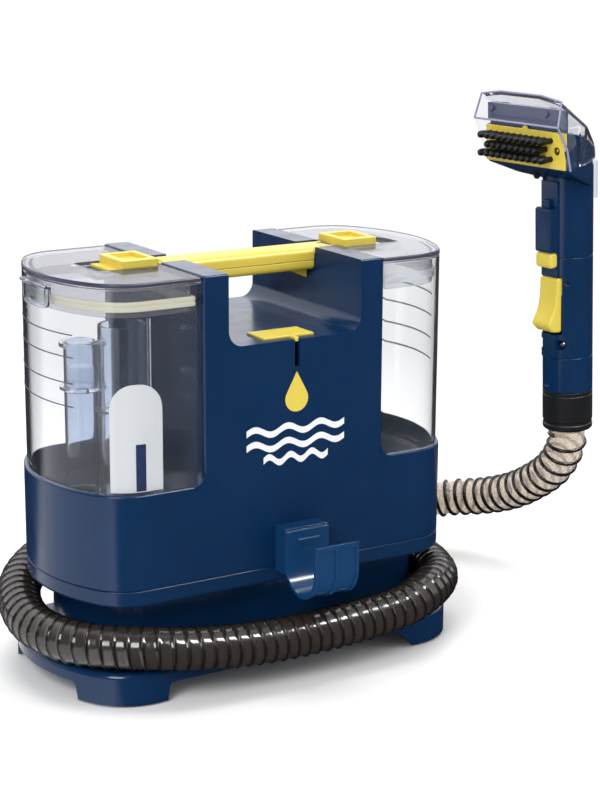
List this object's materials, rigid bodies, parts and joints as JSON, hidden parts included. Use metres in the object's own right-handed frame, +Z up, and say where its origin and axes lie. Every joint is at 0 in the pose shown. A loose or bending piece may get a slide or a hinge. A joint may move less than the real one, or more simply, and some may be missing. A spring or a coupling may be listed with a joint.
{
  "type": "carpet cleaner machine",
  "caption": "Portable carpet spot cleaner with clear lift-off dirty and clean water tanks, a carrying handle, a suction hose wrapped round its base and a trigger hand tool with a brush head.",
  "frame": {"origin": "middle of the underside of the machine and hand tool without the hose, on the floor", "axes": "+X along the machine from the dirty tank to the clean tank and on to the hand tool, -Y the front with the power button and tool clip, +Z up"},
  "size_m": [0.5274, 0.2914, 0.4377],
  "materials": {
    "navy_plastic": "glossy moulded",
    "yellow_plastic": "satin moulded",
    "dark_plastic": "fine texture",
    "black_plastic": "fine texture",
    "foot_rubber": "matte",
    "gasket_rubber": "matte",
    "cream_plastic": "satin",
    "smoke_clear": "clear, polished",
    "frost_clear": "clear, lightly frosted",
    "hose_film": "clear film over a dark spiral",
    "bristle_nylon": "nylon tufts",
    "steel": "satin",
    "copper": "enamelled windings",
    "brass": "satin",
    "circuit_board": "coated board"
  },
  "bodies": {
    "machine": {"base_stand": "navy_plastic", "lower_pan": "navy_plastic", "main_housing": "navy_plastic", "rear_cover": "navy_plastic", "tool_clip": "navy_plastic", "wand_collar": "navy_plastic", "wand_grip": "navy_plastic", "handle_upper": "yellow_plastic", "handle_lower": "yellow_plastic", "hose_port": "dark_plastic", "fan_cover": "dark_plastic", "intake_duct": "dark_plastic", "outlet_duct": "dark_plastic", "power_switch": "black_plastic", "spray_valve": "black_plastic", "water_pump": "black_plastic", "hose_cuff": "black_plastic", "rubber_foot_1": "foot_rubber", "rubber_foot_2": "foot_rubber", "rubber_foot_3": "foot_rubber", "rubber_foot_4": "foot_rubber", "cord_gland": "foot_rubber", "intake_seal": "foot_rubber", "outlet_seal": "foot_rubber", "hose_wrapped": "hose_film", "hose_free": "hose_film", "rear_screw_1": "steel", "rear_screw_2": "steel", "rear_screw_3": "steel", "rear_screw_4": "steel", "motor": "steel", "trigger_pin": "steel", "trigger_spring": "steel", "wand_screw": "steel", "control_board": "circuit_board"},
    "dirty_tank": {"dirty_tank": "smoke_clear", "intake_tube": "smoke_clear", "outlet_tube": "smoke_clear"},
    "dirty_lid": {"dirty_lid": "smoke_clear", "dirty_gasket": "gasket_rubber"},
    "dirty_latch": {"dirty_latch": "yellow_plastic"},
    "dirty_lid_clip": {"dirty_lid_clip": "smoke_clear"},
    "float_valve": {"float_valve": "cream_plastic"},
    "clean_tank": {"clean_tank": "frost_clear"},
    "clean_lid": {"clean_lid": "frost_clear", "clean_gasket": "gasket_rubber"},
    "clean_latch": {"clean_latch": "yellow_plastic"},
    "clean_valve": {"clean_valve": "black_plastic"},
    "power_button": {"power_button": "yellow_plastic"},
    "fan": {"fan": "cream_plastic", "motor_rotor": "copper"},
    "trigger": {"trigger": "yellow_plastic"},
    "tool_head": {"head_body": "navy_plastic", "brush_plate": "yellow_plastic", "bristles": "bristle_nylon", "head_screw": "brass", "suction_hood": "smoke_clear", "hood_clip": "smoke_clear", "spray_nozzle": "black_plastic"},
    "release_button": {"release_button": "yellow_plastic"}
  },
  "joints": [
    {"name": "dirty_tank_lift", "type": "slide", "parent": "machine", "child": "dirty_tank", "axis": [0, 0, 1], "range_m": [0, 0.06]},
    {"name": "dirty_lid_lift", "type": "slide", "parent": "dirty_tank", "child": "dirty_lid", "axis": [0, 0, 1], "range_m": [0, 0.03]},
    {"name": "dirty_latch_slide", "type": "slide", "parent": "dirty_lid", "child": "dirty_latch", "axis": [-1, 0, 0], "range_m": [0, 0.012]},
    {"name": "dirty_lid_clip_hinge", "type": "hinge", "parent": "dirty_lid", "child": "dirty_lid_clip", "pos_m": [-0.24555, 0.0213, 0.315], "axis": [0, 1, 0], "range_deg": [0, 45]},
    {"name": "float_rise", "type": "slide", "parent": "dirty_tank", "child": "float_valve", "axis": [0, 0, 1], "range_m": [0, 0.012]},
    {"name": "clean_tank_lift", "type": "slide", "parent": "machine", "child": "clean_tank", "axis": [0, 0, 1], "range_m": [0, 0.06]},
    {"name": "clean_lid_lift", "type": "slide", "parent": "clean_tank", "child": "clean_lid", "axis": [0, 0, 1], "range_m": [0, 0.03]},
    {"name": "clean_latch_slide", "type": "slide", "parent": "clean_lid", "child": "clean_latch", "axis": [1, 0, 0], "range_m": [0, 0.012]},
    {"name": "clean_valve_lift", "type": "slide", "parent": "clean_tank", "child": "clean_valve", "axis": [0, 0, 1], "range_m": [0, 0.004], "stiffness_N_per_m": 100, "springref_m": -0.002},
    {"name": "power_button_press", "type": "slide", "parent": "machine", "child": "power_button", "axis": [0, 0, -1], "range_m": [0, 0.003], "stiffness_N_per_m": 500, "springref_m": -0.001},
    {"name": "fan_spin", "type": "hinge", "parent": "machine", "child": "fan", "pos_m": [-0.05695, 0.0293, 0.182], "axis": [0, 0, 1], "continuous": true},
    {"name": "trigger_pull", "type": "hinge", "parent": "machine", "child": "trigger", "pos_m": [0.21388, -0.02318, 0.27939], "axis": [0.0998, -0.995, 0], "range_deg": [0, 7], "stiffness_Nm_per_rad": 0.5, "springref_deg": -1.72},
    {"name": "head_pull_off", "type": "slide", "parent": "machine", "child": "tool_head", "axis": [-0.0486, -0.0049, 0.9988], "range_m": [0, 0.03]},
    {"name": "release_button_slide", "type": "slide", "parent": "tool_head", "child": "release_button", "axis": [0.0486, 0.0049, -0.9988], "range_m": [0, 0.005], "stiffness_N_per_m": 300, "springref_m": -0.002}
  ]
}
